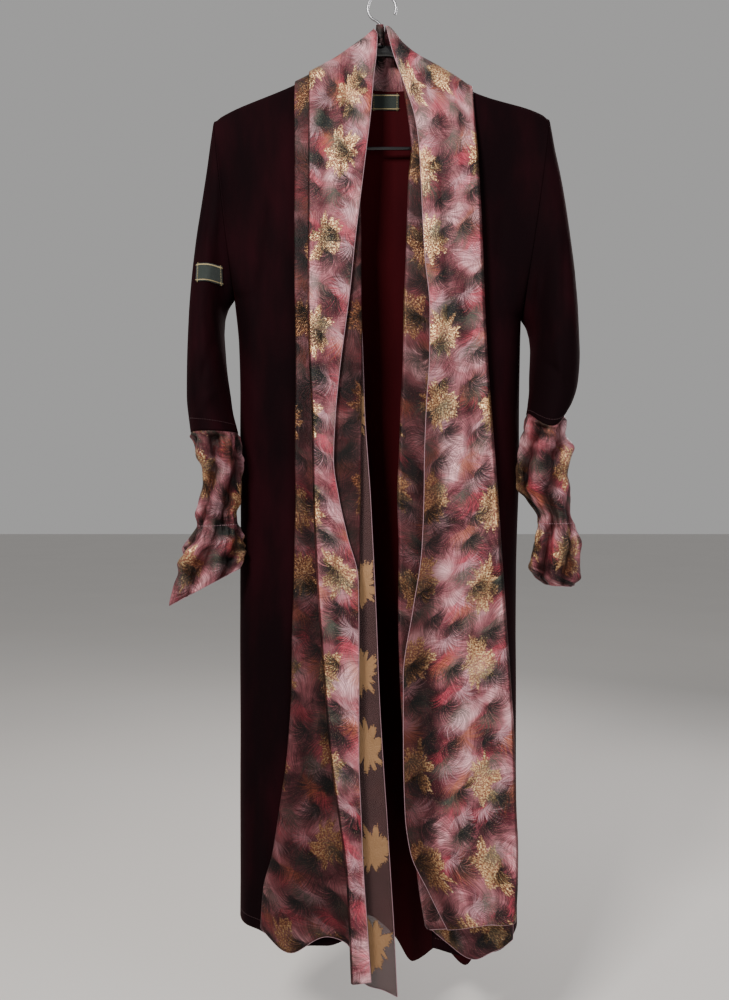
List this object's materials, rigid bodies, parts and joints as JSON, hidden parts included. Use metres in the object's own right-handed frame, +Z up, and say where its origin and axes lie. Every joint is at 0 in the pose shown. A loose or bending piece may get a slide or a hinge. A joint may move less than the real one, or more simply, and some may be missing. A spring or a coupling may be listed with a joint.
{
  "type": "open abaya on a hanger",
  "caption": "Open-fronted dark wine velvet abaya with ruched printed chiffon cuffs and a matching folded chiffon stole, on a plain black hanger",
  "frame": {"origin": "the seat of the hanger's hook, where it rests on a rail", "axes": "+Z up, the front of the garment faces -Y, +X to the right of someone facing the front"},
  "size_m": [0.5488, 0.1573, 1.3822],
  "materials": {
    "velvet": "velvet",
    "printed_chiffon": "sheer",
    "label_cloth": "woven",
    "hanger_plastic": "gloss",
    "hook_steel": "satin"
  },
  "bodies": {
    "root": {"velvet_back": "velvet", "velvet_front_left": "velvet", "velvet_front_right": "velvet", "sleeve_left": "velvet", "sleeve_right": "velvet", "cuff_left": "printed_chiffon", "cuff_right": "printed_chiffon", "stole_left": "printed_chiffon", "stole_right": "printed_chiffon", "stole_back": "printed_chiffon", "stole_fold": "printed_chiffon", "label_neck": "label_cloth", "label_sleeve": "label_cloth", "hanger_arms": "hanger_plastic", "hanger_bar": "hanger_plastic", "hanger_hook": "hook_steel"}
  },
  "joints": []
}
